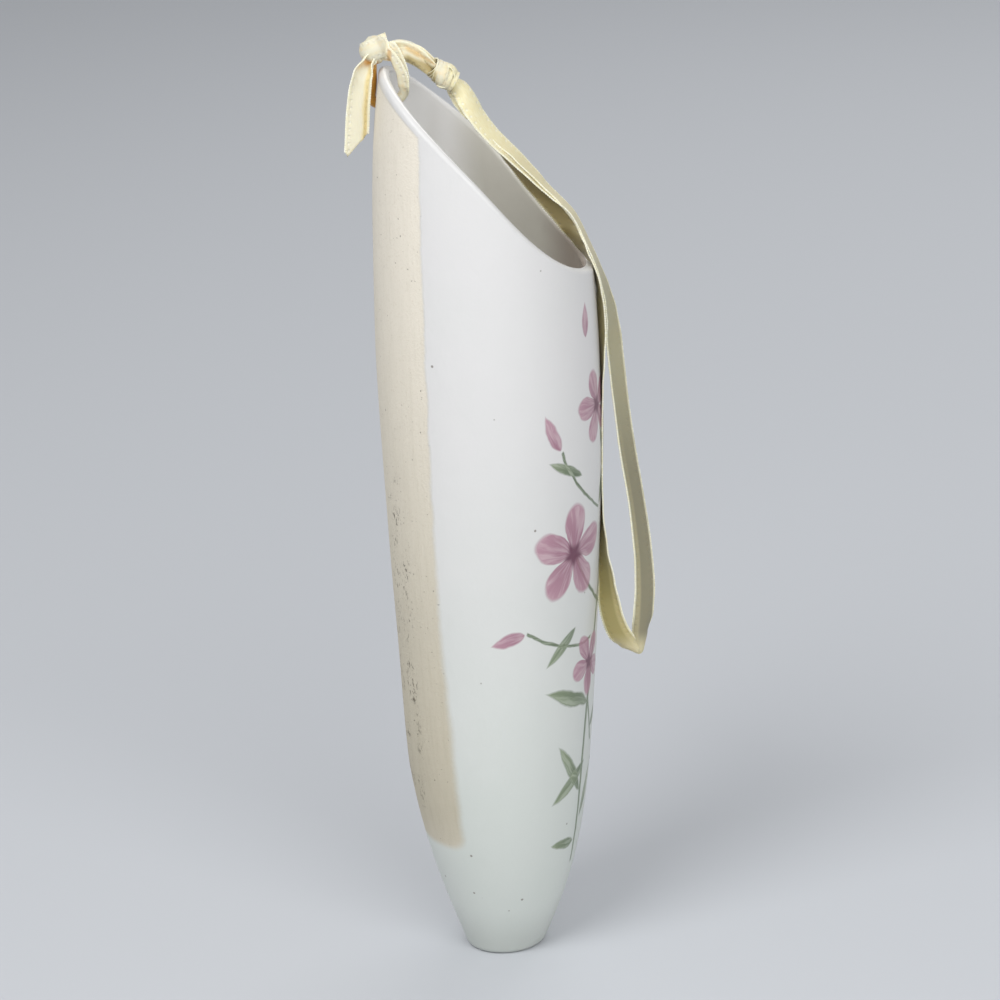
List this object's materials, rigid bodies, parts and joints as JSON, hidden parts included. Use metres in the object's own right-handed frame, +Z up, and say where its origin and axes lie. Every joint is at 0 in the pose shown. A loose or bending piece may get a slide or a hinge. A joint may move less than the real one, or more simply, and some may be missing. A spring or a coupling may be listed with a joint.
{
  "type": "hanging wall vase",
  "caption": "Tall tapering ceramic wall pocket with an oblique mouth and a flattened back, hung by a looped satin ribbon.",
  "frame": {"origin": "middle of the flat patch on the vase's back that rests on the wall", "axes": "+Z up along the hung vase, +Y into the wall, -Y to the room"},
  "size_m": [0.0598, 0.0705, 0.2594],
  "materials": {
    "glazed_ceramic": "semi-gloss white glaze with an unglazed back strip",
    "satin_ribbon": "satin weave with dotted selvedges"
  },
  "bodies": {
    "vase": {"vase_body": "glazed_ceramic", "top_knot": "satin_ribbon", "ribbon_wrap": "satin_ribbon", "ribbon_tail": "satin_ribbon", "ribbon_stub": "satin_ribbon"},
    "strap": {"ribbon_bridge_left": "satin_ribbon", "ribbon_bridge_right": "satin_ribbon", "loop_knot": "satin_ribbon", "loop_strand_inner": "satin_ribbon", "loop_strand_outer": "satin_ribbon"},
    "drop": {"loop_drop_inner": "satin_ribbon", "loop_drop_outer": "satin_ribbon", "loop_fold": "satin_ribbon"}
  },
  "joints": [
    {"name": "hanger_lift", "type": "hinge", "parent": "vase", "child": "strap", "pos_m": [0, -0.0054, 0.1399], "axis": [-1, 0, 0], "range_deg": [0, 135]},
    {"name": "loop_swing", "type": "hinge", "parent": "strap", "child": "drop", "pos_m": [0, -0.0542, 0.0922], "axis": [-1, 0, 0], "range_deg": [0, 45]}
  ],
  "couplings": [
    {"joint": "loop_swing", "follows": "hanger_lift", "ratio": 0.3333}
  ]
}
